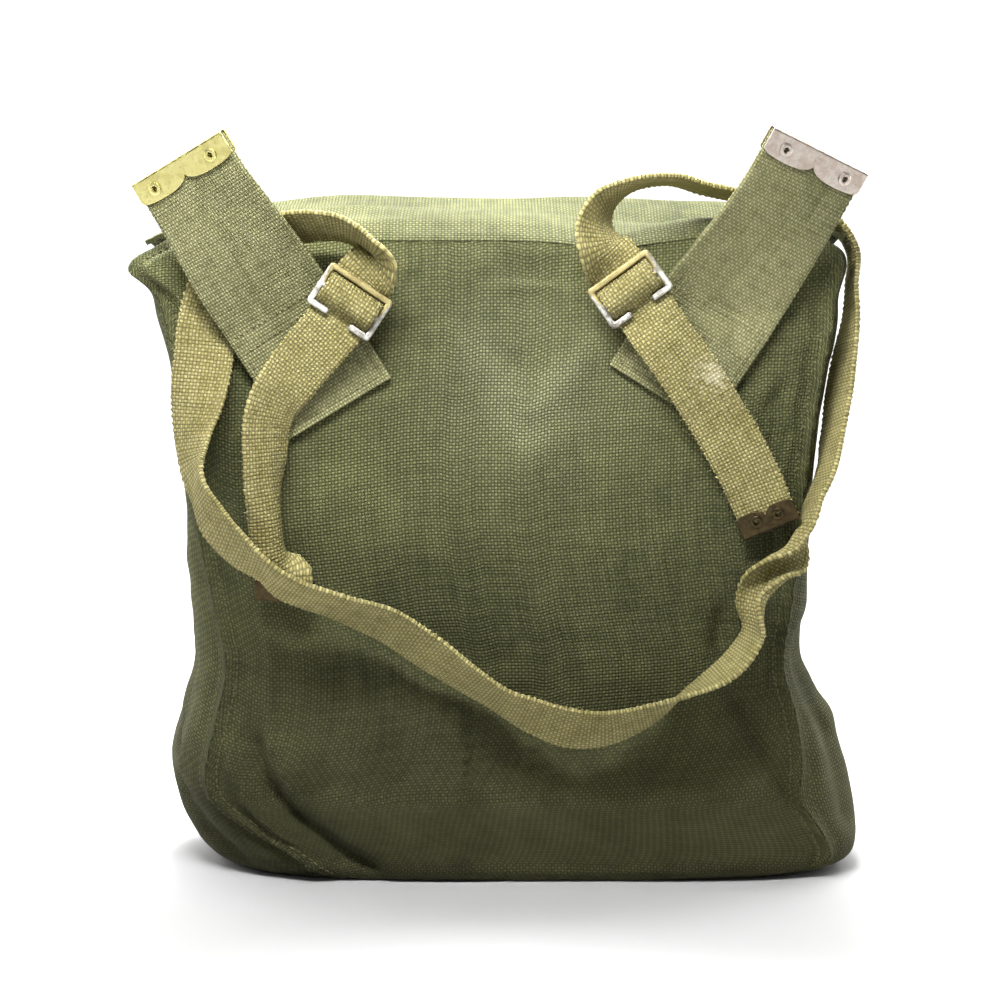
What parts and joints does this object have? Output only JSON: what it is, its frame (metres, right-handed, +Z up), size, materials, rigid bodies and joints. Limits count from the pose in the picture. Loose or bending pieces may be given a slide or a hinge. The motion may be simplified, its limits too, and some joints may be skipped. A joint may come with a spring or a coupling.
{
  "type": "haversack",
  "caption": "Military-pattern canvas haversack standing stuffed, with slanting webbing tabs, brass ends and one long khaki strap buckled across its back.",
  "frame": {"origin": "middle of the flat bottom, at the floor", "axes": "+Z up, -Y out of the back panel that faces the viewer, +X to the viewer's right"},
  "size_m": [0.3151, 0.1523, 0.3282],
  "materials": {
    "canvas": "worn olive canvas, faded",
    "tab_webbing": "pale green cotton webbing",
    "strap_webbing": "khaki cotton webbing, frayed selvedges",
    "tab_brass": "bright rubbed brass",
    "pale_brass": "pale tarnished brass",
    "dark_brass": "brown lacquered brass",
    "buckle_metal": "grey-white worn metal"
  },
  "bodies": {
    "root": {"back_panel": "canvas", "front_panel": "canvas", "gusset_left": "canvas", "gusset_right": "canvas", "base_panel": "canvas", "lid_flap": "canvas", "tab_left": "tab_webbing", "tab_end_left": "tab_brass", "tab_eyelet_left_inner": "tab_brass", "strap_eyelet_left_inner": "dark_brass", "tab_eyelet_left_outer": "tab_brass", "strap_eyelet_left_outer": "dark_brass", "strap_tip_left": "dark_brass", "buckle_left": "buckle_metal", "buckle_chape_left": "tab_webbing", "closing_strap_left": "tab_webbing", "closing_buckle_left": "buckle_metal", "tab_right": "tab_webbing", "tab_end_right": "pale_brass", "tab_eyelet_right_inner": "pale_brass", "strap_eyelet_right_inner": "dark_brass", "tab_eyelet_right_outer": "pale_brass", "strap_eyelet_right_outer": "dark_brass", "strap_tip_right": "dark_brass", "buckle_right": "buckle_metal", "buckle_chape_right": "tab_webbing", "closing_strap_right": "tab_webbing", "closing_buckle_right": "buckle_metal", "carrying_strap": "strap_webbing"}
  },
  "joints": []
}
